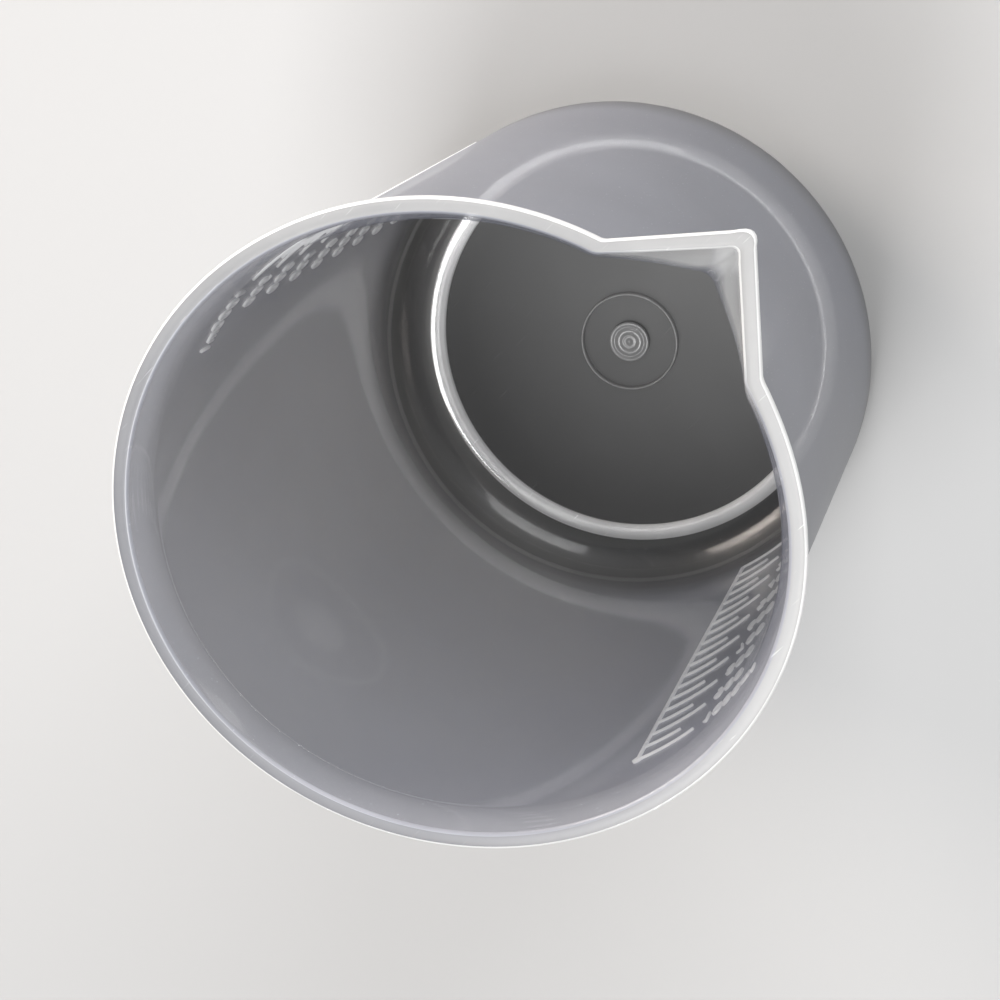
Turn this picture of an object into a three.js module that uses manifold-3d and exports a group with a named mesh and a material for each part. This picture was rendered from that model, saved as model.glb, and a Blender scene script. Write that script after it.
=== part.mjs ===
// Plastic laboratory beaker, 1000 ml: tapered wall, rounded heel on a foot ring, flared rim with a
// flat lip, V-shaped pouring spout, and the same raised scale on two opposite sides.
// Millimetres, +Z up, resting plane at z = 0, spout towards +X, front scale facing -Y. The origin is
// the middle of the part's outline on the resting plane, so the beaker's own axis is at AXIS_X.

import * as THREE from "three";
import { mergeVertices } from "three/addons/utils/BufferGeometryUtils.js";
import Module from "manifold-3d";

const wasm = await Module();
wasm.setup();

// Overall sizes
const HEIGHT = 138;
const RIM_RADIUS = 58.3;
const SPOUT_REACH = 72.4;
const AXIS_X = (RIM_RADIUS - SPOUT_REACH) / 2;
const SEGMENTS = 96;
const SMALL_SEGMENTS = 32;
const FILLET_SEGMENTS = 6;
const CUT_MARGIN = 1;
const MERGE_DISTANCE = 1e-4;
const MM3_PER_ML = 1000;

// Wall: a slightly tapered tube whose outer radius is given at the base's underside and at the top
const WALL_THICKNESS = 1.3;
const WALL_RADIUS_LOW = 53.05;
const WALL_RADIUS_HIGH = 54.7;

// Base: a flat plate carried by a foot ring, joined to the wall by a rounded heel
const FOOT_HEIGHT = 1.5;
const FOOT_OUTER_RADIUS = 45;
const FOOT_INNER_RADIUS = 41.5;
const FOOT_DRAFT = 0.25;
const HEEL_RADIUS = 11;
const HEEL_STEPS = 6;

// Moulding gate under the middle of the base
const GATE_RADIUS = 4.3;
const GATE_STEP_RADIUS = 3.2;
const GATE_TIP_RADIUS = 1.7;
const GATE_DEPTH = 0.6;
const GATE_RING_RADIUS = 10.4;
const GATE_RING_WIDTH = 0.7;
const GATE_RING_DEPTH = 0.3;

// Rim: the wall flares out under a flat lip
const FLARE_HEIGHT = 6.5;
const FLARE_WIDTH = 2.25;
const FLARE_POWER = 1.6;
const FLARE_STEPS = 3;
const LIP_THICKNESS = 1.4;
const LIP_EDGE = 0.4;

// Spout: a right-angled V whose keel slopes back to the wall
const SPOUT_INNER_CORNER = 70.2;
const SPOUT_SLOPE = 0.5;
const SPOUT_DEPTH = 40;
const SPOUT_INNER_FILLET = 2.2;
const SPOUT_OUTER_FILLET = 3.4;
const SPOUT_LIP_WIDTH = 2.55;
const SPOUT_ROOT_X = 30;
const SPOUT_GAP = 0.25;

// Scale: a spine with a line every 50 ml, the longer ones numbered every 100 ml
const MARK_CLEARANCE = 0.03;
const MARK_HEIGHT = 0.35;
const SINK = 0.02;
const LINE_WIDTH = 0.6;
const SPINE_ANGLE = -104.3;
const MAJOR_ANGLE = -91.5;
const MINOR_ANGLE = -96.1;
const BACK_SCALE_TURN = 183;
const FIRST_MARK_Z = 14.2;
const MARK_ML = 50;
const NUMBER_ML = 100;
const CAPACITY_ML = 1000;
const DOT_RADIUS = 1;
const DOT_SEGMENTS = 12;
const BEND_STEP = 3;

// Numerals: stroked figures joined by a thin web along the middle
const FIGURE_ANGLE = -87.9;
const FIGURE_PITCH = 2.7;
const FIGURE_WIDTH = 1.5;
const FIGURE_HEIGHT = 3.9;
const STROKE_WIDTH = 0.48;
const UNIT_SCALE = 0.72;
const LONG_NUMBER_PITCH = 0.98;
const LOOP_CORNER_ACROSS = 0.3;
const LOOP_CORNER_UP = 0.16;
const MITRE_LIMIT = 0.5;
const WEB_HEIGHT = 0.9;
const WEB_RISE = 0.42;
const WEB_THICKNESS = 0.12;

const BASE_UNDERSIDE = FOOT_HEIGHT;
const FLOOR = BASE_UNDERSIDE + WALL_THICKNESS;
const HEEL_TOP = BASE_UNDERSIDE + HEEL_RADIUS;
const FLARE_BOTTOM = HEIGHT - FLARE_HEIGHT;
const LIP_BOTTOM = HEIGHT - LIP_THICKNESS;

// ---------------------------------------------------------------- profiles

const taper = (z) => (z - BASE_UNDERSIDE) / (HEIGHT - BASE_UNDERSIDE);

const wallOuter = (z) => THREE.MathUtils.lerp(WALL_RADIUS_LOW, WALL_RADIUS_HIGH, taper(z));

// How far the flare has moved the wall outwards at height z.
const flare = (z) => FLARE_WIDTH * Math.max(0, (z - FLARE_BOTTOM) / FLARE_HEIGHT) ** FLARE_POWER;

const rimOuter = (z) => wallOuter(z) + flare(z);
const rimInner = (z) => rimOuter(z) - WALL_THICKNESS;

const HEEL_CENTRE = wallOuter(HEEL_TOP) - HEEL_RADIUS;

// The quarter circle of the heel, from the base out and up to the wall.
function heelArc(radius) {
  return Array.from({ length: HEEL_STEPS + 1 }, (_, i) => {
    const angle = ((i / HEEL_STEPS) * Math.PI) / 2;
    return [HEEL_CENTRE + radius * Math.sin(angle), HEEL_TOP - radius * Math.cos(angle)];
  });
}

function steps(from, to, count) {
  return Array.from({ length: count + 1 }, (_, i) => THREE.MathUtils.lerp(from, to, i / count));
}

// ---------------------------------------------------------------- solids

// Turns a profile of [radius, z] points about the beaker's axis. It starts and ends on the axis, or
// closes on itself.
function turned(profile, segments = SEGMENTS) {
  const points = profile.map(([radius, z]) => new THREE.Vector2(radius, z));
  if (points[0].x > 0) points.push(points[0].clone());
  return new THREE.LatheGeometry(points, segments).rotateX(Math.PI / 2);
}

function toSolid(geometry) {
  const plain = geometry.clone();
  plain.deleteAttribute("normal");
  plain.deleteAttribute("uv");
  const merged = mergeVertices(plain, MERGE_DISTANCE);
  return new wasm.Manifold(
    new wasm.Mesh({
      numProp: 3,
      vertProperties: new Float32Array(merged.attributes.position.array),
      triVerts: new Uint32Array(merged.index.array),
    }),
  );
}

function toGeometry(solid) {
  const mesh = solid.getMesh();
  const geometry = new THREE.BufferGeometry();
  geometry.setAttribute("position", new THREE.BufferAttribute(mesh.vertProperties, 3));
  geometry.setIndex(new THREE.BufferAttribute(mesh.triVerts, 1));
  return geometry;
}

const joined = (solids) => solids.reduce((whole, solid) => whole.add(solid));

// A block whose plan is the spout's rounded V, leaning back towards the axis as it goes down.
// The corner is where the two straight sides would meet at the top of the beaker.
function spoutBlock(corner, fillet, top, bottom) {
  const plan = new THREE.Shape();
  const centre = corner - fillet * Math.SQRT2;
  const bend = fillet * Math.SQRT1_2;
  plan.moveTo(SPOUT_ROOT_X, SPOUT_ROOT_X - corner);
  plan.lineTo(centre + bend, -bend);
  plan.absarc(centre, 0, fillet, -Math.PI / 4, Math.PI / 4);
  plan.lineTo(SPOUT_ROOT_X, corner - SPOUT_ROOT_X);
  const block = new THREE.ExtrudeGeometry(plan, {
    depth: top - bottom,
    bevelEnabled: false,
    curveSegments: FILLET_SEGMENTS,
  });
  block.translate(0, 0, bottom - HEIGHT);
  block.applyMatrix4(new THREE.Matrix4().makeShear(0, 0, 0, 0, SPOUT_SLOPE, 0));
  return toSolid(block.translate(0, 0, HEIGHT));
}

// The V of the spout with its lip, grown by a margin: the margin makes the gap round the spout.
function spoutOutside(margin) {
  const grow = margin * Math.SQRT2;
  const corner = SPOUT_INNER_CORNER + WALL_THICKNESS * Math.SQRT2 + grow;
  const lipCorner = SPOUT_INNER_CORNER + SPOUT_LIP_WIDTH * Math.SQRT2 + grow;
  const body = spoutBlock(corner, SPOUT_OUTER_FILLET, HEIGHT + margin, HEIGHT - SPOUT_DEPTH);
  const lip = spoutBlock(lipCorner, SPOUT_OUTER_FILLET, HEIGHT + margin, LIP_BOTTOM);
  return body.add(lip);
}

// Everything inside the beaker's wall and rim, above the heel.
function insideSpace() {
  const rim = steps(FLARE_BOTTOM, HEIGHT, FLARE_STEPS).map((z) => [rimInner(z), z]);
  const above = [rimInner(HEIGHT), HEIGHT + CUT_MARGIN];
  const top = [0, HEIGHT + CUT_MARGIN];
  return toSolid(turned([[0, HEEL_TOP], [rimInner(HEEL_TOP), HEEL_TOP], ...rim, above, top]));
}

const spoutCutter = spoutOutside(SPOUT_GAP);

const cutForSpout = (geometry) => toGeometry(toSolid(geometry).subtract(spoutCutter));

function pourSpout() {
  const channel = spoutBlock(
    SPOUT_INNER_CORNER,
    SPOUT_INNER_FILLET,
    HEIGHT + CUT_MARGIN,
    HEIGHT - SPOUT_DEPTH - CUT_MARGIN,
  );
  return toGeometry(spoutOutside(0).subtract(channel).subtract(insideSpace()));
}

// ---------------------------------------------------------------- raised marks

// Bends a flat slab onto the wall: x is the angle in degrees, y the height, z the distance out.
function bentOntoWall(slab) {
  const position = slab.attributes.position;
  for (let i = 0; i < position.count; i++) {
    const angle = THREE.MathUtils.degToRad(position.getX(i));
    const z = position.getY(i);
    const radius = wallOuter(z) + MARK_CLEARANCE + position.getZ(i);
    position.setXYZ(i, radius * Math.cos(angle), radius * Math.sin(angle), z);
  }
  return toSolid(slab);
}

const degreesPerMm = THREE.MathUtils.radToDeg(1 / ((WALL_RADIUS_LOW + WALL_RADIUS_HIGH) / 2));

// A straight bar round the wall or up it, from one angle and height to another.
function bar([left, right], [bottom, top], [low, high]) {
  const columns = Math.ceil((right - left) / BEND_STEP);
  const slab = new THREE.BoxGeometry(right - left, top - bottom, high - low, columns, 1, 1);
  slab.translate((left + right) / 2, (bottom + top) / 2, (low + high) / 2);
  return bentOntoWall(slab);
}

// The height of the liquid's surface at each mark, from the volume of each slice of the beaker.
function markHeights() {
  const heights = [FIRST_MARK_Z];
  const slice = (MARK_ML * MM3_PER_ML) / Math.PI;
  for (let ml = NUMBER_ML + MARK_ML; ml <= CAPACITY_ML; ml += MARK_ML) {
    const z = heights.at(-1);
    heights.push(z + slice / rimInner(z) ** 2);
  }
  return heights.map((z, i) => ({ z, ml: NUMBER_ML + i * MARK_ML }));
}

const marks = markHeights();
const numbered = marks.filter(({ ml }) => ml % NUMBER_ML === 0);

function scale() {
  const half = LINE_WIDTH / 2;
  const width = [SPINE_ANGLE - half * degreesPerMm, SPINE_ANGLE + half * degreesPerMm];
  const topLine = marks.at(-1).z;
  const spine = bar(width, [FIRST_MARK_Z - LINE_WIDTH, topLine + half], [0, MARK_HEIGHT]);
  const lines = marks.map(({ z, ml }) => {
    const end = ml % NUMBER_ML === 0 ? MAJOR_ANGLE : MINOR_ANGLE;
    return bar([SPINE_ANGLE, end], [z - half, z + half], [SINK, MARK_HEIGHT - SINK]);
  });
  const dot = new THREE.CylinderGeometry(DOT_RADIUS, DOT_RADIUS, MARK_HEIGHT, DOT_SEGMENTS);
  dot.rotateX(Math.PI / 2).translate(0, 0, MARK_HEIGHT / 2 + SINK / 2);
  dot.scale(degreesPerMm, 1, 1).translate(SPINE_ANGLE, topLine, 0);
  return joined([spine, ...lines, bentOntoWall(dot)]);
}

// Strokes of each figure in a box one wide and one high. A stroke whose ends meet is a loop.
const loop = (left, right, bottom, top) => {
  const [x, y] = [LOOP_CORNER_ACROSS * (right - left), LOOP_CORNER_UP];
  const corners = [
    [left + x, top],
    [right - x, top],
    [right, top - y],
    [right, bottom + y],
    [right - x, bottom],
    [left + x, bottom],
    [left, bottom + y],
    [left, top - y],
  ];
  return [...corners, corners[0]];
};

const FIGURES = {
  0: [loop(0, 1, 0, 1)],
  1: [[[0.15, 0.8], [0.6, 1], [0.6, 0]]],
  2: [[[0, 0.82], [0.3, 1], [0.75, 1], [1, 0.82], [1, 0.6], [0, 0], [1, 0]]],
  3: [[[0, 1], [1, 1], [0.5, 0.58], [1, 0.4], [1, 0.15], [0.7, 0], [0.3, 0], [0, 0.15]]],
  4: [[[1, 0.28], [0, 0.28], [0.7, 1]], [[0.7, 1], [0.7, 0]]],
  5: [[[1, 1], [0.1, 1], [0, 0.55], [0.7, 0.6], [1, 0.44], [1, 0.16], [0.7, 0], [0, 0]]],
  6: [loop(0, 1, 0, 0.58), [[0, 0.3], [0, 0.65], [0.35, 1], [0.9, 1]]],
  7: [[[0, 1], [1, 1], [0.35, 0]]],
  8: [loop(0, 1, 0, 0.52), loop(0.05, 0.95, 0.52, 1)],
  9: [loop(0, 1, 0.42, 1), [[1, 0.7], [1, 0.35], [0.65, 0], [0.1, 0]]],
  m: [[[-0.35, 0], [-0.35, 0.9], [0.5, 0.9], [0.5, 0]], [[0.1, 0.9], [1.35, 0.9], [1.35, 0]]],
  l: [[[0.5, 0], [0.5, 1.35]]],
};

// The outline left or right of a stroke, mitred at its bends.
function strokeSide(path, offset, closed) {
  const last = path.length - 1;
  return path.map((point, i) => {
    const before = path[i > 0 ? i - 1 : closed ? last - 1 : 0];
    const after = path[i < last ? i + 1 : closed ? 1 : last];
    const into = point.clone().sub(i > 0 || closed ? before : point);
    const out = after.clone().sub(point);
    const first = into.lengthSq() > 0 ? into.normalize() : out.clone().normalize();
    const second = out.lengthSq() > 0 ? out.normalize() : first.clone();
    const normal = new THREE.Vector2(-first.y - second.y, first.x + second.x).normalize();
    const reach = offset / Math.max(MITRE_LIMIT, normal.dot(new THREE.Vector2(-first.y, first.x)));
    return point.clone().addScaledVector(normal, reach);
  });
}

// One stroke as a flat slab, its size in millimetres turned into degrees of the wall.
function stroke(points, angle, z, size) {
  const [width, height] = [FIGURE_WIDTH * size, FIGURE_HEIGHT * size];
  const path = points.map(([x, y]) => new THREE.Vector2((x - 0.5) * width, y * height));
  const closed = path[0].distanceTo(path.at(-1)) < MERGE_DISTANCE;
  const half = STROKE_WIDTH / 2;
  const left = strokeSide(path, half, closed);
  const right = strokeSide(path, -half, closed);
  const shape = new THREE.Shape(closed ? left.slice(1) : [...left, ...right.reverse()]);
  if (closed) shape.holes.push(new THREE.Path(right.slice(1).reverse()));
  const slab = new THREE.ExtrudeGeometry(shape, {
    depth: MARK_HEIGHT - WEB_THICKNESS / 3,
    bevelEnabled: false,
  });
  slab.translate(0, z, WEB_THICKNESS / 3);
  slab.scale(degreesPerMm, 1, 1).translate(angle, 0, 0);
  return bentOntoWall(slab);
}

function numeral(ml, z) {
  const text = ml === CAPACITY_ML ? `${ml}ml` : `${ml}`;
  const foot = z - FIGURE_HEIGHT / 2;
  const pitch = FIGURE_PITCH * (text.length > 3 ? LONG_NUMBER_PITCH : 1);
  const strokes = [...text].flatMap((figure, i) => {
    const size = figure === "m" || figure === "l" ? UNIT_SCALE : 1;
    const angle = FIGURE_ANGLE + i * pitch;
    return FIGURES[figure].map((points) => stroke(points, angle, foot, size));
  });
  const end = FIGURE_ANGLE + (text.length - 1) * pitch;
  const middle = foot + FIGURE_HEIGHT * WEB_RISE;
  const band = [middle - WEB_HEIGHT / 2, middle + WEB_HEIGHT / 2];
  return joined([bar([FIGURE_ANGLE, end], band, [0, WEB_THICKNESS]), ...strokes]);
}

// ---------------------------------------------------------------- assembly

const plastic = { roughness: 0.34, metalness: 0 };
const SHADES = {
  wall: new THREE.Color(0.72, 0.73, 0.76),
  base: new THREE.Color(0.62, 0.63, 0.66),
  edge: new THREE.Color(0.84, 0.84, 0.85),
  mark: new THREE.Color(0.8, 0.8, 0.82),
};

const beaker = new THREE.Group();
beaker.name = "beaker";

function addPiece(name, geometry, shade) {
  geometry.computeVertexNormals();
  const material = new THREE.MeshStandardMaterial({ ...plastic, color: SHADES[shade] });
  const mesh = new THREE.Mesh(geometry, material);
  mesh.name = name;
  mesh.position.x = AXIS_X;
  beaker.add(mesh);
}

const tube = (heights) => [
  ...heights.map((z) => [rimOuter(z), z]),
  ...[...heights].reverse().map((z) => [rimInner(z), z]),
];

addPiece(
  "base_plate",
  turned([[0, BASE_UNDERSIDE], [HEEL_CENTRE, BASE_UNDERSIDE], [HEEL_CENTRE, FLOOR], [0, FLOOR]]),
  "base",
);
addPiece(
  "base_heel",
  turned([...heelArc(HEEL_RADIUS), ...heelArc(HEEL_RADIUS - WALL_THICKNESS).reverse()]),
  "wall",
);
addPiece(
  "foot_ring",
  turned([
    [FOOT_INNER_RADIUS + FOOT_DRAFT, 0],
    [FOOT_OUTER_RADIUS - FOOT_DRAFT, 0],
    [FOOT_OUTER_RADIUS, FOOT_HEIGHT],
    [FOOT_INNER_RADIUS, FOOT_HEIGHT],
  ]),
  "edge",
);
addPiece(
  "gate_mark",
  turned(
    [
      [0, BASE_UNDERSIDE - GATE_DEPTH],
      [GATE_TIP_RADIUS, BASE_UNDERSIDE - GATE_DEPTH],
      [GATE_STEP_RADIUS, BASE_UNDERSIDE - GATE_DEPTH / 2],
      [GATE_RADIUS, BASE_UNDERSIDE - GATE_DEPTH / 2],
      [GATE_RADIUS, BASE_UNDERSIDE],
      [0, BASE_UNDERSIDE],
    ],
    SMALL_SEGMENTS,
  ),
  "edge",
);
addPiece(
  "gate_ring",
  turned(
    [
      [GATE_RING_RADIUS - GATE_RING_WIDTH / 2, BASE_UNDERSIDE - GATE_RING_DEPTH],
      [GATE_RING_RADIUS + GATE_RING_WIDTH / 2, BASE_UNDERSIDE - GATE_RING_DEPTH],
      [GATE_RING_RADIUS + GATE_RING_WIDTH / 2, BASE_UNDERSIDE],
      [GATE_RING_RADIUS - GATE_RING_WIDTH / 2, BASE_UNDERSIDE],
    ],
    SMALL_SEGMENTS,
  ),
  "base",
);
addPiece("side_wall", cutForSpout(turned(tube([HEEL_TOP, FLARE_BOTTOM]))), "wall");
addPiece("rim_flare", cutForSpout(turned(tube(steps(FLARE_BOTTOM, LIP_BOTTOM, FLARE_STEPS)))), "edge");
addPiece(
  "rim_lip",
  cutForSpout(
    turned([
      [rimInner(LIP_BOTTOM), LIP_BOTTOM],
      [RIM_RADIUS - LIP_EDGE, LIP_BOTTOM],
      [RIM_RADIUS, LIP_BOTTOM + LIP_EDGE],
      [RIM_RADIUS, HEIGHT - LIP_EDGE],
      [RIM_RADIUS - LIP_EDGE, HEIGHT],
      [rimInner(HEIGHT), HEIGHT],
    ]),
  ),
  "edge",
);
addPiece("pour_spout", pourSpout(), "edge");

for (const [side, turn] of [["front", 0], ["back", BACK_SCALE_TURN]]) {
  const place = (solid) => toGeometry(solid.rotate([0, 0, turn]));
  addPiece(`${side}_scale`, place(scale()), "mark");
  for (const { ml, z } of numbered) {
    const name = `${side}_numeral_${ml}${ml === CAPACITY_ML ? "_ml" : ""}`;
    addPiece(name, place(numeral(ml, z)), "mark");
  }
}

export default beaker;
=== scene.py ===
import math

import bmesh
import bpy
from mathutils import Matrix, Vector


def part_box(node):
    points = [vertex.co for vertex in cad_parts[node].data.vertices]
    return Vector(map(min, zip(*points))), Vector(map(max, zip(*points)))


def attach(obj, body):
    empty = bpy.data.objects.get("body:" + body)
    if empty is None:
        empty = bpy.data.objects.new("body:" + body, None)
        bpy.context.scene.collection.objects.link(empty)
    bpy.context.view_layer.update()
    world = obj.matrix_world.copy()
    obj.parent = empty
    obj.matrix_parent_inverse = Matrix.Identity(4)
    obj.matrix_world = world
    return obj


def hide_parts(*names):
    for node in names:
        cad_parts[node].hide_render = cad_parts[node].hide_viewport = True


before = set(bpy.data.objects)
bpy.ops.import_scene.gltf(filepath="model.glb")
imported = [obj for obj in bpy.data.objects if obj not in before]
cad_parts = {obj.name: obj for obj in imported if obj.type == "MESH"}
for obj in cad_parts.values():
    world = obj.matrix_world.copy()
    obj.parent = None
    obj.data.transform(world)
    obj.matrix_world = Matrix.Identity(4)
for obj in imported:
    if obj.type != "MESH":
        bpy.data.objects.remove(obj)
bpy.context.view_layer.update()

MM = 0.001
TINY = 1e-6

# ---------------------------------------------------------------- sizes, all in millimetres


def extent(node):
    """A CAD node's lowest and highest corners."""
    low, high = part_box(node)
    return Vector(low) / MM, Vector(high) / MM


def half_width(node):
    """A turned node's outer radius, from its width across the beaker."""
    low, high = extent(node)
    return (high.y - low.y) / 2


LIP_LOW, LIP_HIGH = extent("rim_lip")
HEIGHT = LIP_HIGH.z
LIP_BOTTOM = LIP_LOW.z
RIM_RADIUS = half_width("rim_lip")
AXIS_X = LIP_LOW.x + RIM_RADIUS
FLARE_BOTTOM = extent("rim_flare")[0].z
HEEL_TOP = extent("side_wall")[0].z
BASE_UNDERSIDE, FLOOR = (corner.z for corner in extent("base_plate"))
WALL = FLOOR - BASE_UNDERSIDE
HEEL_CENTRE = half_width("base_plate")
HEEL_RADIUS = HEEL_TOP - BASE_UNDERSIDE
FOOT_OUTER = half_width("foot_ring")
GATE_RADIUS = half_width("gate_mark")
GATE_DEPTH = BASE_UNDERSIDE - extent("gate_mark")[0].z
GATE_RING = half_width("gate_ring")
WALL_LOW = half_width("base_heel")
WALL_HIGH = half_width("side_wall")

# The foot ring and the gate are rooted this far inside the plastic, so that they show through it.
ROOT_DEPTH = 1.1

FOOT_WIDTH = 3.5
FOOT_CORNER = 0.5
FOOT_DRAFT = 0.15
FOOT_TAPER = 0.3
FLARE_WIDTH = 2.25
FLARE_POWER = 1.6
LIP_ROUND = 0.42
MOUTH_ROUND = 0.55

# The fillet under the lip: share of the way in to the wall, and drop below the lip's underside.
LIP_FILLET = ((0.5, 0.0), (0.85, 0.12), (1.0, 0.45))
FILLET_END = 0.8

# The soft wall has relaxed into a slight oval that fades out towards the base, and it bulges a
# little beside the stiff spout: by BULGE mm at BULGE_ANGLE, dying away over BULGE_WIDTH degrees.
OVAL = 0.0297
OVAL_AXIS = math.radians(-47.0)
BULGE = 0.93
BULGE_ANGLE = -16.5
BULGE_WIDTH = 10.0

# Each side of the spout is a leg angle back from the tip, and its distance from the axis at the
# mouth. The distance shrinks with depth: by so much per mm, and by so much per mm squared.
LIP_SIDES = ((39.6, 47.55), (48.0, 54.15))
CHANNEL_SIDES = ((40.5, 45.84), (48.0, 51.33))
CHANNEL_SLOPES = ((0.262, 0.0017), (0.18, 0.0047))
LIP_TIP = 4.4
CHANNEL_TIP = 3.0
CHANNEL_TIP_GROWTH = 0.06
SPOUT_DEPTH = 40.0
SPOUT_SPREAD = 24.0

# There is no spout beyond this angle, nor where a side lies nearly along the line from the axis,
# which this cosine tells.
SPOUT_LIMIT = math.radians(1.5 * SPOUT_SPREAD)
SIDEWAYS = 0.1

# How far the spout's corners with the wall are rounded: in the channel, outside, and on the lip.
CHANNEL_BLEND = 0.8
KEEL_BLEND = 1.4
LIP_BLEND = 0.6

# Fineness of the mesh: rows in millimetres, columns in degrees, rounded edges in degrees of turn
# or in steps, and rings by their number of sides.
BASE_STEP = 5
WALL_STEP = 5
SPOUT_STEP = 1
FLARE_STEP = 0.6
FINE_COLUMN = 0.5
COARSE_COLUMN = 2
HEEL_STEPS_INSIDE = 14
HEEL_STEPS_OUTSIDE = 16
POLE_RADIUS = 3
MOUTH_TURNS = (30, 60, 90)
LIP_UPPER_TURNS = (90, 60, 30, 0)
LIP_LOWER_TURNS = (0, -30, -60, -90)
LIP_FACE_SHARES = (0.35, 0.7)
FOOT_CORNER_STEPS = 4
GATE_RING_STEPS = 8
FOOT_SIDES = 160
GATE_SIDES = 64
GATE_RING_SIDES = 96

# ---------------------------------------------------------------- profiles


def wall_outer(z):
    """The tapered wall's outer radius, carried on above and below the wall itself."""
    return WALL_LOW + (WALL_HIGH - WALL_LOW) * (z - HEEL_TOP) / (FLARE_BOTTOM - HEEL_TOP)


def rim_outer(z):
    """The wall's outer radius with the flare that leads into the lip."""
    rise = max(0.0, (z - FLARE_BOTTOM) / (HEIGHT - FLARE_BOTTOM))
    return wall_outer(z) + FLARE_WIDTH * rise**FLARE_POWER


def relaxed(radius, angle, z):
    """A round beaker's radius as the slightly oval one has it."""
    rise = min(1.0, max(0.0, (z - BASE_UNDERSIDE) / (HEIGHT - BASE_UNDERSIDE)))
    away = abs(math.remainder(angle - math.radians(BULGE_ANGLE), 2 * math.pi))
    bulge = BULGE * math.exp(-math.degrees(away) / BULGE_WIDTH)
    return radius * (1 + OVAL * rise * math.cos(2 * (angle - OVAL_AXIS))) + bulge * rise


def soft_max(a, b, blend):
    """The larger of two radii, with the edge between them rounded off."""
    share = min(1.0, max(0.0, 0.5 + 0.5 * (a - b) / blend))
    return b + (a - b) * share + blend * share * (1 - share) / 2


def spout(angle, sides, tip, depth=0.0, out=0.0):
    """Distance from the axis to the two slanting sides of the spout, with a rounded tip."""
    radii = []
    for way, (leg, distance), (slope, curve) in zip((1, -1), sides, CHANNEL_SLOPES):
        leg = math.radians(leg)
        towards = math.sin(leg) * math.cos(angle) + way * math.cos(leg) * math.sin(angle)
        if towards < SIDEWAYS:
            return 0.0
        radii.append((distance + out - slope * depth - curve * depth**2) / towards)
    return -soft_max(-radii[0], -radii[1], tip)


def inner(angle, z):
    """Inner surface of the wall, flare and spout channel."""
    plain = relaxed(rim_outer(z) - WALL, angle, z)
    if abs(angle) > SPOUT_LIMIT:
        return plain
    depth = HEIGHT - z
    tip = CHANNEL_TIP + CHANNEL_TIP_GROWTH * depth
    return soft_max(spout(angle, CHANNEL_SIDES, tip, depth), plain, CHANNEL_BLEND)


def outer(angle, z):
    """Outer surface of the wall, flare and spout."""
    plain = relaxed(rim_outer(z), angle, z)
    if abs(angle) > SPOUT_LIMIT:
        return plain
    depth = HEIGHT - z
    tip = LIP_TIP + CHANNEL_TIP_GROWTH * depth
    return soft_max(spout(angle, CHANNEL_SIDES, tip, depth, WALL), plain, KEEL_BLEND)


def lip_edge(angle):
    """Outer edge of the lip, round the mouth and along both sides of the spout."""
    plain = relaxed(RIM_RADIUS, angle, HEIGHT)
    if abs(angle) > SPOUT_LIMIT:
        return plain
    return soft_max(spout(angle, LIP_SIDES, LIP_TIP), plain, LIP_BLEND)


# ---------------------------------------------------------------- meshes


def add_mesh(name, verts, faces, materials, slot, zone=None):
    """A smooth-shaded piece from corners in millimetres, measured from the beaker's own axis.

    zone picks a material's number for a face from the face's number and middle.
    """
    mesh = bpy.data.meshes.new(name)
    mesh.from_pydata([((x + AXIS_X) * MM, y * MM, z * MM) for x, y, z in verts], [], faces)
    made = bmesh.new()
    made.from_mesh(mesh)
    bmesh.ops.recalc_face_normals(made, faces=made.faces)
    made.to_mesh(mesh)
    made.free()
    mesh.polygons.foreach_set("use_smooth", [True] * len(mesh.polygons))
    for material in materials:
        mesh.materials.append(material)
    if zone:
        for face in mesh.polygons:
            face.material_index = zone(face.index, face.center / MM)
    piece = bpy.data.objects.new(name, mesh)
    bpy.context.collection.objects.link(piece)
    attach(piece, "root")
    return piece


def revolve(rows, angles, closed):
    """Corners and faces of a surface swept round the axis.

    Each row gives (radius, z) for an angle. An open surface starts and ends in a pole on the axis.
    """
    verts = []
    for row in rows:
        for angle in angles:
            radius, z = row(angle)
            verts.append((radius * math.cos(angle), radius * math.sin(angle), z))
    count = len(angles)
    faces = []
    last = len(rows) if closed else len(rows) - 1
    for i in range(last):
        low, high = i * count, (i + 1) % len(rows) * count
        for j in range(count):
            k = (j + 1) % count
            faces.append((low + j, low + k, high + k, high + j))
    if not closed:
        for row, ring in ((rows[0], 0), (rows[-1], (len(rows) - 1) * count)):
            pole = len(verts)
            verts.append((0.0, 0.0, row(0.0)[1]))
            faces += [(pole, ring + j, ring + (j + 1) % count) for j in range(count)]
    return verts, faces


def fixed(radius, z):
    """A row that is a plain circle, relaxed with the rest."""
    return lambda angle: (relaxed(radius, angle, z), z)


def turned(name, profile, material, slot, count):
    """A closed ring, or a disc that starts and ends on the axis, from fixed (radius, z) points."""
    closed = profile[0][0] > 0 and profile[-1][0] > 0
    rows = [fixed(radius, z) for radius, z in profile if radius > 0]
    angles = [2 * math.pi * i / count for i in range(count)]
    return add_mesh(name, *revolve(rows, angles, closed), [material], slot)


def arc(centre_r, centre_z, radius, start, end, steps):
    """Points of a circular arc in the (radius, z) plane, angles in degrees."""
    points = []
    for i in range(steps + 1):
        a = math.radians(start + (end - start) * i / steps)
        points.append((centre_r + radius * math.cos(a), centre_z + radius * math.sin(a)))
    return points


def spread(low, high, step):
    """Evenly spaced values from low to high, no further apart than step."""
    count = max(1, math.ceil(abs(high - low) / step))
    return [low + (high - low) * i / count for i in range(count + 1)]


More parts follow.
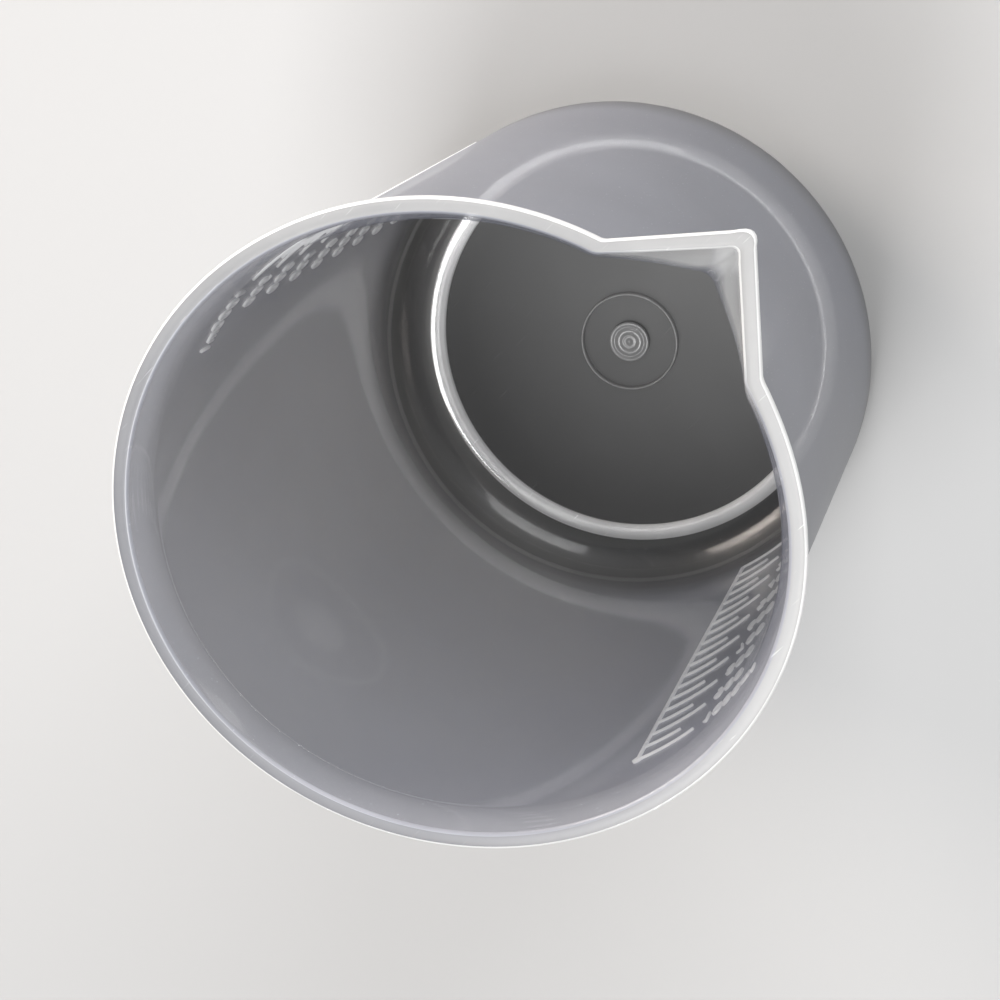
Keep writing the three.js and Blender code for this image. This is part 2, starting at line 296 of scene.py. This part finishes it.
def shell_rows():
    """The whole moulding's section, from the floor's middle up, over the lip and back under."""
    base_radii = spread(POLE_RADIUS, HEEL_CENTRE, BASE_STEP)
    heel_inside = arc(HEEL_CENTRE, HEEL_TOP, HEEL_RADIUS - WALL, -90, 0, HEEL_STEPS_INSIDE)
    heel_outside = arc(HEEL_CENTRE, HEEL_TOP, HEEL_RADIUS, 0, -90, HEEL_STEPS_OUTSIDE)
    spout_foot = HEIGHT - SPOUT_DEPTH
    mouth = HEIGHT - MOUTH_ROUND
    heights = spread(HEEL_TOP, spout_foot, WALL_STEP)[1:]
    heights += spread(spout_foot, FLARE_BOTTOM, SPOUT_STEP)[1:]
    heights += spread(FLARE_BOTTOM, mouth, FLARE_STEP)[1:]

    rows = [fixed(r, FLOOR) for r in base_radii]
    rows += [fixed(*p) for p in heel_inside[1:]]
    rows += [lambda a, z=z: (inner(a, z), z) for z in heights]
    for turn in MOUTH_TURNS:
        z = mouth + MOUTH_ROUND * math.sin(math.radians(turn))
        out = MOUTH_ROUND * (1 - math.cos(math.radians(turn)))
        rows.append(lambda a, z=z, out=out: (inner(a, mouth) + out, z))

    def across(share):
        def row(angle):
            start = inner(angle, mouth) + MOUTH_ROUND
            return start + (lip_edge(angle) - LIP_ROUND - start) * share, HEIGHT

        return row

    rows += [across(share) for share in LIP_FACE_SHARES]
    upper, lower = HEIGHT - LIP_ROUND, LIP_BOTTOM + LIP_ROUND
    for z_centre, turns in ((upper, LIP_UPPER_TURNS), (lower, LIP_LOWER_TURNS)):
        for turn in turns:
            inset = LIP_ROUND * (1 - math.cos(math.radians(turn)))
            z = z_centre + LIP_ROUND * math.sin(math.radians(turn))
            rows.append(lambda a, z=z, inset=inset: (lip_edge(a) - inset, z))

    def under(share, drop):
        def row(angle):
            start = lip_edge(angle) - LIP_ROUND
            end = outer(angle, LIP_BOTTOM - drop)
            return start + (end - start) * share, LIP_BOTTOM - drop

        return row

    rows += [under(share, drop) for share, drop in LIP_FILLET]
    down = [z for z in reversed(heights) if z < LIP_BOTTOM - FILLET_END]
    rows += [lambda a, z=z: (outer(a, z), z) for z in down]
    rows += [fixed(*p) for p in heel_outside]
    rows += [fixed(r, BASE_UNDERSIDE) for r in reversed(base_radii[:-1])]
    return rows


def shell_angles():
    """Columns round the axis, close together across the spout."""
    fine = spread(-SPOUT_SPREAD, SPOUT_SPREAD, FINE_COLUMN)
    coarse = spread(SPOUT_SPREAD, 360 - SPOUT_SPREAD, COARSE_COLUMN)[1:-1]
    return [math.radians(a) for a in fine + coarse]


# ---------------------------------------------------------------- raised marks

# Where the spine stands and where its long and short lines end, in degrees round from the spout.
SPINE_ANGLE = -104.3
MAJOR_ANGLE = -91.5
MINOR_ANGLE = -96.1
BACK_SCALE_TURN = 183
FIRST_MARK_Z = 14.2
MARK_ML = 50
NUMBER_ML = 100
CAPACITY_ML = 1000
MM3_PER_ML = 1000
LINE_WIDTH = 0.6
DOT_RADIUS = 1.0
MARK_HEIGHT = 0.33
MARK_ROOT = -0.4

# A raised line's crown, as shares of its half width and of its height.
CROWN = ((-0.92, 0.45), (-0.55, 0.9), (0.0, 1.0), (0.55, 0.9), (0.92, 0.45))
MITRE_LIMIT = 0.6
SPINE_STEP = 1.5
LINE_STEP = 1.0
DOT_POINTS = 16

FIGURE_ANGLE = -87.9
FIGURE_PITCH = 2.7
FIGURE_WIDTH = 1.5
FIGURE_HEIGHT = 3.9
STROKE_WIDTH = 0.48
UNIT_SCALE = 0.72
LONG_NUMBER_PITCH = 0.98
CORNER_RADIUS = 0.28
CORNER_SHARE = 0.45
CUT_ACROSS = 0.3
CUT_UP = 0.16

# The mean angle that a millimetre round the wall takes up.
DEGREES_PER_MM = math.degrees(2 / (WALL_LOW + WALL_HIGH))


def skin(z):
    """The outer surface that the marks stand on, heel included."""
    if z >= HEEL_TOP:
        return wall_outer(z)
    return HEEL_CENTRE + math.sqrt(HEEL_RADIUS**2 - (HEEL_TOP - z) ** 2)


def on_wall(across, z, out):
    """A point from its angle round the wall in degrees, its height, and how far it stands out."""
    angle = math.radians(across)
    radius = relaxed(skin(z), angle, z) + out
    return radius * math.cos(angle), radius * math.sin(angle), z


def section(width):
    """A raised line's rounded section: across and out, from one root to the other."""
    half = width / 2
    crown = [(half * across, MARK_HEIGHT * up) for across, up in CROWN]
    return [(-half, MARK_ROOT), *crown, (half, MARK_ROOT)]


def bead(path, width):
    """A raised line along flat (across mm, height mm) points, as corners (across, height, out)."""
    closed = math.dist(path[0], path[-1]) < TINY
    if closed:
        path = path[:-1]
    count = len(path)
    profile = section(width)
    verts, faces = [], []
    for i, (x, y) in enumerate(path):
        before = path[i - 1] if i or closed else path[0]
        after = path[(i + 1) % count] if i < count - 1 or closed else path[-1]
        along = Vector((x - before[0], y - before[1]))
        onward = Vector((after[0] - x, after[1] - y))
        along = along.normalized() if along.length else onward.normalized()
        onward = onward.normalized() if onward.length else along
        normal = Vector((-along.y - onward.y, along.x + onward.x)).normalized()
        mitre = 1 / max(MITRE_LIMIT, normal.dot(Vector((-along.y, along.x))))
        verts += [(x + normal.x * s * mitre, y + normal.y * s * mitre, out) for s, out in profile]
    size = len(profile)
    for i in range(count if closed else count - 1):
        low, high = i * size, (i + 1) % count * size
        for j in range(size):
            k = (j + 1) % size
            faces.append((low + j, low + k, high + k, high + j))
    if not closed:
        faces += [tuple(range(size)), tuple(range((count - 1) * size, count * size))]
    return verts, faces


def rounded(points):
    """A path with its corners turned into short curves, and its ends left alone."""
    closed = math.dist(points[0], points[-1]) < TINY
    corners = points[:-1] if closed else points
    path = []
    for i, corner in enumerate(corners):
        if not closed and i in (0, len(corners) - 1):
            path.append(corner)
            continue
        here = Vector(corner)
        before, after = Vector(corners[i - 1]), Vector(corners[(i + 1) % len(corners)])
        shorter = min((before - here).length, (after - here).length)
        room = min(CORNER_RADIUS, shorter * CORNER_SHARE)
        start = here + (before - here).normalized() * room
        end = here + (after - here).normalized() * room
        path += [tuple(start), tuple((start + end + 2 * here) / 4), tuple(end)]
    return path + path[:1] if closed else path


def subdivided(points, step):
    """A path with points added along its straight stretches, so that it can bend round the wall."""
    path = [points[0]]
    for start, end in zip(points, points[1:]):
        pieces = max(1, math.ceil(math.dist(start, end) / step))
        for i in range(1, pieces + 1):
            path.append(tuple(s + (e - s) * i / pieces for s, e in zip(start, end)))
    return path


def add_marks(name, beads, turn, nodes):
    """One piece from beads whose flat points are measured from an angle and a height."""
    verts, faces = [], []
    for (corners, quads), angle, z in beads:
        first = len(verts)
        verts += [on_wall(turn + angle + x * DEGREES_PER_MM, z + y, out) for x, y, out in corners]
        faces += [tuple(first + i for i in quad) for quad in quads]
    marks = add_mesh(name, verts, faces, [MARK_PLASTIC], "mark")
    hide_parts(*nodes)


def mark_heights():
    """The height of each line, from the volume of each slice of the bore."""
    heights = [FIRST_MARK_Z]
    while len(heights) < (CAPACITY_ML - NUMBER_ML) / MARK_ML + 1:
        bore = rim_outer(heights[-1]) - WALL
        heights.append(heights[-1] + MARK_ML * MM3_PER_ML / (math.pi * bore**2))
    return [(NUMBER_ML + i * MARK_ML, z) for i, z in enumerate(heights)]


def loop(left, right, bottom, top):
    """A closed figure stroke with cut corners."""
    x, y = CUT_ACROSS * (right - left), CUT_UP
    corners = [
        (left + x, top),
        (right - x, top),
        (right, top - y),
        (right, bottom + y),
        (right - x, bottom),
        (left + x, bottom),
        (left, bottom + y),
        (left, top - y),
    ]
    return corners + corners[:1]


# Each figure's strokes in a box one unit wide and one high.
FIGURES = {
    "0": [loop(0, 1, 0, 1)],
    "1": [[(0.15, 0.8), (0.6, 1), (0.6, 0)]],
    "2": [[(0, 0.82), (0.3, 1), (0.75, 1), (1, 0.82), (1, 0.6), (0, 0), (1, 0)]],
    "3": [[(0, 1), (1, 1), (0.5, 0.58), (1, 0.4), (1, 0.15), (0.7, 0), (0.3, 0), (0, 0.15)]],
    "4": [[(1, 0.28), (0, 0.28), (0.7, 1)], [(0.7, 1), (0.7, 0)]],
    "5": [[(1, 1), (0.1, 1), (0, 0.55), (0.7, 0.6), (1, 0.44), (1, 0.16), (0.7, 0), (0, 0)]],
    "6": [loop(0, 1, 0, 0.58), [(0, 0.3), (0, 0.65), (0.35, 1), (0.9, 1)]],
    "7": [[(0, 1), (1, 1), (0.35, 0)]],
    "8": [loop(0, 1, 0, 0.52), loop(0.05, 0.95, 0.52, 1)],
    "9": [loop(0, 1, 0.42, 1), [(1, 0.7), (1, 0.35), (0.65, 0), (0.1, 0)]],
    "m": [[(-0.35, 0), (-0.35, 0.9), (0.5, 0.9), (0.5, 0)], [(0.1, 0.9), (1.35, 0.9), (1.35, 0)]],
    "l": [[(0.5, 0), (0.5, 1.35)]],
}


def build_scale(side, turn):
    """Spine, lines and dot as one piece."""
    marks = mark_heights()
    top = marks[-1][1]
    spine = subdivided([(0, FIRST_MARK_Z), (0, top)], SPINE_STEP)
    beads = [(bead(spine, LINE_WIDTH), SPINE_ANGLE, 0)]
    for ml, z in marks:
        end = MAJOR_ANGLE if ml % NUMBER_ML == 0 else MINOR_ANGLE
        length = (end - SPINE_ANGLE) / DEGREES_PER_MM
        line = subdivided([(0, 0), (length, 0)], LINE_STEP)
        beads.append((bead(line, LINE_WIDTH), SPINE_ANGLE, z))
    turns = [2 * math.pi * i / DOT_POINTS for i in range(DOT_POINTS + 1)]
    ring = [(DOT_RADIUS / 2 * math.cos(a), DOT_RADIUS / 2 * math.sin(a)) for a in turns]
    beads.append((bead(ring, DOT_RADIUS), SPINE_ANGLE, top))
    add_marks(f"{side}_scale_lines", beads, turn, [f"{side}_scale"])


def build_numeral(side, turn, ml, z):
    """One row's figures as one piece."""
    text = f"{ml}ml" if ml == CAPACITY_ML else str(ml)
    pitch = FIGURE_PITCH * (LONG_NUMBER_PITCH if len(text) > 3 else 1)
    beads = []
    foot = z - FIGURE_HEIGHT / 2
    for i, figure in enumerate(text):
        angle = FIGURE_ANGLE + i * pitch
        size = UNIT_SCALE if figure in "ml" else 1
        width, height = FIGURE_WIDTH * size, FIGURE_HEIGHT * size
        for stroke in FIGURES[figure]:
            path = rounded([((x - 0.5) * width, y * height) for x, y in stroke])
            beads.append((bead(path, STROKE_WIDTH), angle, foot))
    node = f"{side}_numeral_{ml}" + ("_ml" if ml == CAPACITY_ML else "")
    add_marks(node + "_figures", beads, turn, [node])


# ---------------------------------------------------------------- materials

# Faint clouds in the plastic change its tone, its cover and its roughness a little.
CLOUD_DETAIL = 4
CLOUD_ROUGHNESS = 0.55
CLOUD_SPAN = (0.3, 0.7)
TONE_SPAN = (0.25, 0.75)
TONE_CHANGE = (0.9, 1.1)
COVER_CHANGE = (0.97, 1.03)
ROUGH_CHANGE = (-0.02, 0.03)

# How sharply the surface turns solid towards its edges.
GRAZING_POWER = 3.0

# Fine scratches: a noise drawn out along one direction, of which only the peaks show.
SCRATCH_TURN = (0.4, 0.9, 0.5)
SCRATCH_SCALE = (140, 2200, 2200)
SCRATCH_PEAKS = (0.72, 0.8)
SCRATCH_TONE = 0.6
SCRATCH_COVER = 0.12

# The slight ripple of a moulded surface, its depth in metres.
RIPPLE_SCALE = 60
RIPPLE_STRENGTH = 0.12
RIPPLE_DISTANCE = 0.00025

# Painted light: the wall is painted lighter and more solid towards the spout, over this many mm
# outwards and between these heights.
SPOUT_FADE = 5
SPOUT_RISE = (98, 114)


class Plastic:
    """The node tree of a satin plastic that part of the light passes straight through."""

    def __init__(self, name):
        self.material = bpy.data.materials.new(name)
        self.material.use_nodes = True
        self.nodes = self.material.node_tree.nodes
        self.links = self.material.node_tree.links
        self.nodes.clear()
        self.place = self.nodes.new("ShaderNodeTexCoord").outputs["Object"]

    def add(self, kind, **inputs):
        """A node with some of its inputs set."""
        node = self.nodes.new(kind)
        for key, value in inputs.items():
            node.inputs[key.replace("_", " ")].default_value = value
        return node

    def noise(self, scale, detail, roughness=0.5):
        node = self.add("ShaderNodeTexNoise", Scale=scale, Detail=detail, Roughness=roughness)
        self.links.new(self.place, node.inputs["Vector"])
        return node.outputs["Fac"]

    def scratches(self):
        """Strength of the sparse fine scratches at each place."""
        stretch = self.nodes.new("ShaderNodeMapping")
        stretch.inputs["Rotation"].default_value = SCRATCH_TURN
        stretch.inputs["Scale"].default_value = SCRATCH_SCALE
        self.links.new(self.place, stretch.inputs["Vector"])
        node = self.add("ShaderNodeTexNoise", Scale=1.0, Detail=1.0)
        self.links.new(stretch.outputs[0], node.inputs["Vector"])
        return self.ranged(node.outputs["Fac"], SCRATCH_PEAKS, (0, SCRATCH_TONE))

    def ramp(self, value, stops):
        """A colour that follows a value through (position, colour) stops."""
        node = self.nodes.new("ShaderNodeValToRGB")
        elements = node.color_ramp.elements
        while len(elements) < len(stops):
            elements.new(0.5)
        for element, (position, colour) in zip(elements, stops):
            element.position = position
            element.color = (*colour, 1)
        self.links.new(value, node.inputs["Fac"])
        return node.outputs["Color"]

    def ranged(self, value, source, target):
        """A value taken from one range to another."""
        node = self.nodes.new("ShaderNodeMapRange")
        names = ("From Min", "From Max", "To Min", "To Max")
        for key, number in zip(names, (*source, *target)):
            node.inputs[key].default_value = number
        self.links.new(value, node.inputs["Value"])
        return node.outputs["Result"]

    def blended(self, share, colour, target):
        """A colour that turns into a fixed one as share goes from 0 to 1."""
        node = self.nodes.new("ShaderNodeMix")
        node.data_type = "RGBA"
        colours = [socket for socket in node.inputs if socket.type == "RGBA"]
        self.links.new(share, node.inputs[0])
        self.links.new(colour, colours[0])
        colours[1].default_value = target
        return next(socket for socket in node.outputs if socket.type == "RGBA")

    def maths(self, operation, first, second):
        """One operation on two sockets or numbers."""
        node = self.nodes.new("ShaderNodeMath")
        node.operation = operation
        for socket, value in zip(node.inputs, (first, second)):
            if isinstance(value, (int, float)):
                socket.default_value = value
            else:
                self.links.new(value, socket)
        return node.outputs["Value"]


def plastic(name, stops, rough, gloss=0.045, edge=0.5, cloud_size=45, painted_glow=0.0, axis="Z", tip=None):
    """A plastic whose colour and solidity change along Z, or another axis of the beaker.

    Each stop is (place, colour, solid): solid is how much of the surface isn't seen through.
    gloss is the whole surface's mirror share seen square on, and edge is how far the surface
    turns solid where it is seen edge on. cloud_size is the size of its faint clouds in mm.
    painted_glow is painted light: an emission that brightens the part as if light were carried
    to its raised edges. tip is painted light on the spout side: the lighter colour and solidity
    that the spout is painted with, and the distance from the beaker's axis at which the fade starts.
    """
    p = Plastic(name)
    cloud = p.noise(1 / (cloud_size * MM), CLOUD_DETAIL, CLOUD_ROUGHNESS)
    scratches = p.scratches()
    apart = p.nodes.new("ShaderNodeSeparateXYZ")
    p.links.new(p.place, apart.inputs[0])
    first, last = stops[0][0], stops[-1][0]
    along = p.ranged(apart.outputs[axis], (first * MM, last * MM), (0, 1))
    places = [(place - first) / (last - first) for place, _, _ in stops]
    colour = p.ramp(along, [(place, c) for place, (_, c, _) in zip(places, stops)])
    solid = p.ramp(along, [(place, (s, s, s)) for place, (_, _, s) in zip(places, stops)])
    # Painted light: the spout side is blended to the lighter tip colour and solidity.
    if tip:
        tip_colour, tip_solid, fade_start = tip
        fade = [(AXIS_X + x) * MM for x in (fade_start, fade_start + SPOUT_FADE)]
        outward = p.ranged(apart.outputs["X"], fade, (0, 1))
        upward = p.ranged(apart.outputs["Z"], [z * MM for z in SPOUT_RISE], (0, 1))
        spout_share = p.maths("MULTIPLY", outward, upward)
        colour = p.blended(spout_share, colour, (*tip_colour, 1))
        solid = p.blended(spout_share, solid, (tip_solid, tip_solid, tip_solid, 1))
    tone = p.maths("ADD", p.ranged(cloud, TONE_SPAN, TONE_CHANGE), scratches)
    tint = p.nodes.new("ShaderNodeVectorMath")
    tint.operation = "SCALE"
    p.links.new(colour, tint.inputs[0])
    p.links.new(tone, tint.inputs["Scale"])
    facing = p.add("ShaderNodeLayerWeight", Blend=0.5).outputs["Facing"]
    grazing = p.maths("MULTIPLY", p.maths("POWER", facing, GRAZING_POWER), edge)
    cover = p.maths("MULTIPLY", solid, p.ranged(cloud, CLOUD_SPAN, COVER_CHANGE))
    cover = p.maths("ADD", cover, p.maths("MULTIPLY", p.maths("SUBTRACT", 1.0, cover), grazing))
    cover = p.maths("ADD", cover, p.maths("MULTIPLY", scratches, SCRATCH_COVER))
    mirror = math.sqrt(gloss / stops[-1][2])
    shader = p.add("ShaderNodeBsdfPrincipled", IOR=(1 + mirror) / (1 - mirror))
    # Painted glow: an emission that lights the part up though it is no lamp.
    shader.inputs["Emission Color"].default_value = (1, 1, 1, 1)
    shader.inputs["Emission Strength"].default_value = painted_glow
    p.links.new(tint.outputs[0], shader.inputs["Base Color"])
    roughness = p.ranged(cloud, CLOUD_SPAN, [rough + change for change in ROUGH_CHANGE])
    p.links.new(roughness, shader.inputs["Roughness"])
    bump = p.add("ShaderNodeBump", Strength=RIPPLE_STRENGTH, Distance=RIPPLE_DISTANCE)
    p.links.new(p.noise(RIPPLE_SCALE, 1), bump.inputs["Height"])
    p.links.new(bump.outputs["Normal"], shader.inputs["Normal"])
    clear = p.nodes.new("ShaderNodeBsdfTransparent")
    mix = p.nodes.new("ShaderNodeMixShader")
    p.links.new(cover, mix.inputs["Fac"])
    p.links.new(clear.outputs[0], mix.inputs[1])
    p.links.new(shader.outputs[0], mix.inputs[2])
    out = p.nodes.new("ShaderNodeOutputMaterial")
    p.links.new(mix.outputs[0], out.inputs["Surface"])
    return p.material


def grey(level, blue=0.0):
    """A grey that leans towards blue."""
    return (level * (1 - blue / 2), level * (1 - blue / 4), level * (1 + blue))


def even(colour, solid):
    """Stops of a plastic that is the same all over."""
    return [(0, colour, solid), (HEIGHT, colour, solid)]


# Painted shade: both wall coats are painted dark round the heel, fading to the wall's grey by 22 mm
# up, and the outer coat is made nearly solid there, so that the heel reads dark. Both coats turn
# lighter towards the lip.
WALL_INSIDE = plastic(
    "wall_inside",
    [
        (2, grey(0.03), 0.14),
        (9, grey(0.045), 0.14),
        (22, grey(0.11, 0.4), 0.28),
        (130, grey(0.11, 0.4), 0.28),
        (137, grey(0.22, 0.15), 0.38),
    ],
    rough=0.07,
    gloss=0.16,
    tip=(grey(0.8), 0.75, 51),
)
WALL_OUTSIDE = plastic(
    "wall_outside",
    [
        (2, grey(0.04), 0.93),
        (8, grey(0.05), 0.93),
        (22, grey(0.215, 0.12), 0.7),
        (130, grey(0.215, 0.12), 0.7),
        (136, grey(0.3, 0.1), 0.72),
    ],
    rough=0.34,
    tip=(grey(0.6), 0.8, 53),
)
BASE_TOP = plastic("base_top", even(grey(0.05), 0.08), rough=0.4, gloss=0.004, edge=0.1)
# Painted shade: the base's underside is painted dark and mostly solid, so that the base reads dark.
BASE_UNDER = plastic("base_under", even(grey(0.045), 0.75), rough=0.4, gloss=0.02, edge=0.2)
# Painted light: the lip's face is painted lighter and a little more solid towards the spout side,
# and darker away from it, along X, where the light falls on it.
LIP_PAINTED_LIGHT = plastic(
    "lip_painted_light",
    [(-50, grey(0.15, 0.1), 0.72), (15, grey(0.34), 0.75)],
    rough=0.34,
    gloss=0.022,
    edge=0.3,
    cloud_size=20,
    axis="X",
)
# Painted highlight: the lip's rounded outer edge is painted near white and given painted glow, as a
# bright line all round.
RIM_PAINTED_HIGHLIGHT = plastic(
    "rim_painted_highlight", even(grey(0.6), 0.85), rough=0.34, gloss=0.03, cloud_size=12, painted_glow=0.15
)
# Partly painted light: the foot ring is near white, as its thick plastic is, and its painted glow
# keeps it bright in the shade under the base.
FOOT_PLASTIC = plastic(
    "foot_plastic", even(grey(0.88), 0.9), rough=0.34, gloss=0.03, cloud_size=12, painted_glow=0.05
)
GATE_PLASTIC = plastic("gate_plastic", even(grey(0.28), 0.72), rough=0.22, gloss=0.04, cloud_size=6)
# Partly painted light: the raised marks are near white, as their plastic is, and their painted glow
# makes them stand out bright.
MARK_PLASTIC = plastic(
    "mark_plastic", even(grey(0.85), 0.9), rough=0.36, gloss=0.04, cloud_size=15, painted_glow=0.2
)

# ---------------------------------------------------------------- pieces

# Margins for telling which region of the moulding a face belongs to.
LIP_FACE_MARGIN = 0.02
LIP_MARGIN = 0.05
BASE_MARGIN = 0.2


def build_shell():
    """Base, heel, wall, flare, lip and spout as the one continuous skin that they are."""
    rows = shell_rows()
    angles = shell_angles()
    verts, faces = revolve(rows, angles, closed=False)
    coats = [WALL_INSIDE, WALL_OUTSIDE, BASE_TOP, BASE_UNDER, LIP_PAINTED_LIGHT, RIM_PAINTED_HIGHLIGHT]
    inside, outside, base_top, base_under, lip_face, rim_edge = range(len(coats))
    top_row = next(i for i, row in enumerate(rows) if row(math.pi)[1] > HEIGHT - TINY)
    halfway = top_row * len(angles)

    def zone(index, middle):
        if middle.z > HEIGHT - LIP_FACE_MARGIN:
            return lip_face
        if middle.z > HEIGHT - MOUTH_ROUND and index < halfway:
            return outside
        if middle.z > LIP_BOTTOM - LIP_MARGIN and index > halfway:
            return rim_edge
        reach = math.hypot(middle.x - AXIS_X, middle.y)
        if reach < HEEL_CENTRE - BASE_MARGIN and middle.z < HEEL_TOP:
            return base_top if middle.z > (BASE_UNDERSIDE + FLOOR) / 2 else base_under
        return inside if index < halfway else outside

    shell = add_mesh("beaker_body", verts, faces, coats, "wall", zone)
    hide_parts("side_wall", "base_heel", "base_plate", "rim_flare", "rim_lip", "pour_spout")


def build_foot():
    """The ring that the beaker stands on, with rounded lower corners."""
    foot_inner = FOOT_OUTER - FOOT_WIDTH
    root = BASE_UNDERSIDE + ROOT_DEPTH
    inset = FOOT_CORNER + FOOT_DRAFT
    profile = [(FOOT_OUTER - FOOT_TAPER, root), (FOOT_OUTER, BASE_UNDERSIDE)]
    profile += arc(FOOT_OUTER - inset, FOOT_CORNER, FOOT_CORNER, 0, -90, FOOT_CORNER_STEPS)
    profile += arc(foot_inner + inset, FOOT_CORNER, FOOT_CORNER, -90, -180, FOOT_CORNER_STEPS)
    profile += [(foot_inner, BASE_UNDERSIDE), (foot_inner + FOOT_TAPER, root)]
    foot = turned("foot_ring_moulded", profile, FOOT_PLASTIC, "edge", FOOT_SIDES)
    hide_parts("foot_ring")


def build_gate():
    """The stepped gate: a disc with two low rings and a dimple where the sprue broke off."""
    low, step = BASE_UNDERSIDE - GATE_DEPTH, GATE_DEPTH / 2
    root = BASE_UNDERSIDE + ROOT_DEPTH
    bevel, groove = 0.1, 0.25
    profile = [
        (0.0, low + 0.35),
        (0.35, low + 0.3),
        (0.6, low + 0.05),
        (0.8, low),
        (1.6, low),
        (1.9, low + step),
        (2.9, low + step),
        (3.1, low + bevel),
        (3.5, low + bevel),
        (3.7, low + step),
        (GATE_RADIUS - bevel, low + step),
        (GATE_RADIUS, low + step + bevel),
        (GATE_RADIUS, root - bevel),
        (GATE_RADIUS - bevel, root),
        (3.7, root),
        (3.4, root - groove),
        (3.1, root - groove),
        (2.8, root),
        (1.9, root),
        (1.6, root - groove),
        (1.2, root - groove),
        (0.9, root - bevel),
        (0.5, root - 0.5),
        (0.0, root - 0.6),
    ]
    gate = turned("gate_disc", profile, GATE_PLASTIC, "edge", GATE_SIDES)
    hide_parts("gate_mark")


def build_gate_ring():
    """The thin circle round the gate, a raised line that also shows through the base."""
    half, radius, bevel = 0.35, 0.3, 0.1
    middle, root = GATE_RING - half, BASE_UNDERSIDE + ROOT_DEPTH
    profile = arc(middle, BASE_UNDERSIDE, radius, 0, -180, GATE_RING_STEPS)
    profile += [(middle - half / 2, root - bevel), (middle, root), (middle + half / 2, root - bevel)]
    ring = turned("gate_circle", profile, GATE_PLASTIC, "base", GATE_RING_SIDES)
    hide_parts("gate_ring")


build_shell()
build_foot()
build_gate()
build_gate_ring()
for side, turn in (("front", 0), ("back", BACK_SCALE_TURN)):
    build_scale(side, turn)
    for ml, z in mark_heights():
        if ml % NUMBER_ML == 0:
            build_numeral(side, turn, ml, z)

# ---------------------------------------------------------------- floor, light and camera

FLOOR_REACH = 3.0
FLOOR_TONE = 0.46
FLOOR_ROUGHNESS = 0.9
ROOM_LIGHT = 0.35
LENS = 90
SENSOR = 36


def build_floor():
    mesh = bpy.data.meshes.new("floor")
    far = FLOOR_REACH
    corners = [(-far, -far, 0), (far, -far, 0), (far, far, 0), (-far, far, 0)]
    mesh.from_pydata(corners, [], [(0, 1, 2, 3)])
    material = bpy.data.materials.new("floor_paper")
    material.use_nodes = True
    shader = material.node_tree.nodes["Principled BSDF"]
    shader.inputs["Base Color"].default_value = (FLOOR_TONE, FLOOR_TONE, FLOOR_TONE, 1)
    shader.inputs["Roughness"].default_value = FLOOR_ROUGHNESS
    mesh.materials.append(material)
    floor = bpy.data.objects.new("floor", mesh)
    bpy.context.collection.objects.link(floor)


def build_light(name, place, aim, size, power, tint=(1, 1, 1), spread=180):
    """A soft rectangular lamp in metres and watts, aimed at a point. spread is in degrees."""
    lamp = bpy.data.lights.new(name, "AREA")
    lamp.shape = "RECTANGLE"
    lamp.size, lamp.size_y = size
    lamp.energy = power
    lamp.color = tint
    lamp.spread = math.radians(spread)
    holder = bpy.data.objects.new(name, lamp)
    holder.location = place
    holder.rotation_mode = "QUATERNION"
    holder.rotation_quaternion = (Vector(aim) - Vector(place)).to_track_quat("-Z", "Y")
    bpy.context.collection.objects.link(holder)


build_floor()
build_light("key", (-0.3, -0.17, 1.1), aim=(0, 0, 0.13), size=(0.36, 0.5), power=11)
build_light("fill", (0.75, 0.35, 0.6), aim=(0, 0, 0.08), size=(0.6, 0.5), power=8)
build_light(
    "accent",
    (-0.2, 1.05, 0.27),
    aim=(0, 0, 0.05),
    size=(0.6, 0.45),
    power=2.8,
    tint=(1, 0.9, 0.82),
    spread=70,
)

world = bpy.data.worlds.new("studio")
world.use_nodes = True
background = world.node_tree.nodes["Background"]
background.inputs["Color"].default_value = (1, 1, 1, 1)
background.inputs["Strength"].default_value = ROOM_LIGHT
bpy.context.scene.world = world
bpy.context.scene.view_settings.view_transform = "Standard"

# The camera looks down into the mouth from above, rolled so that the base is at the upper right.
CAMERA_PLACE = Vector((AXIS_X + 174.64, 7.15, 513.15)) * MM
CAMERA_RIGHT = Vector((0.66116, -0.69970, -0.27072))
CAMERA_UP = Vector((0.63537, 0.71409, -0.29390))


def build_camera():
    lens = bpy.data.cameras.new("camera")
    lens.sensor_width = SENSOR
    lens.lens = LENS
    camera = bpy.data.objects.new("camera", lens)
    bpy.context.collection.objects.link(camera)
    back = CAMERA_RIGHT.cross(CAMERA_UP)
    turn = Matrix((CAMERA_RIGHT, CAMERA_UP, back)).transposed().to_4x4()
    camera.matrix_world = Matrix.Translation(CAMERA_PLACE) @ turn
    bpy.context.scene.camera = camera


build_camera()
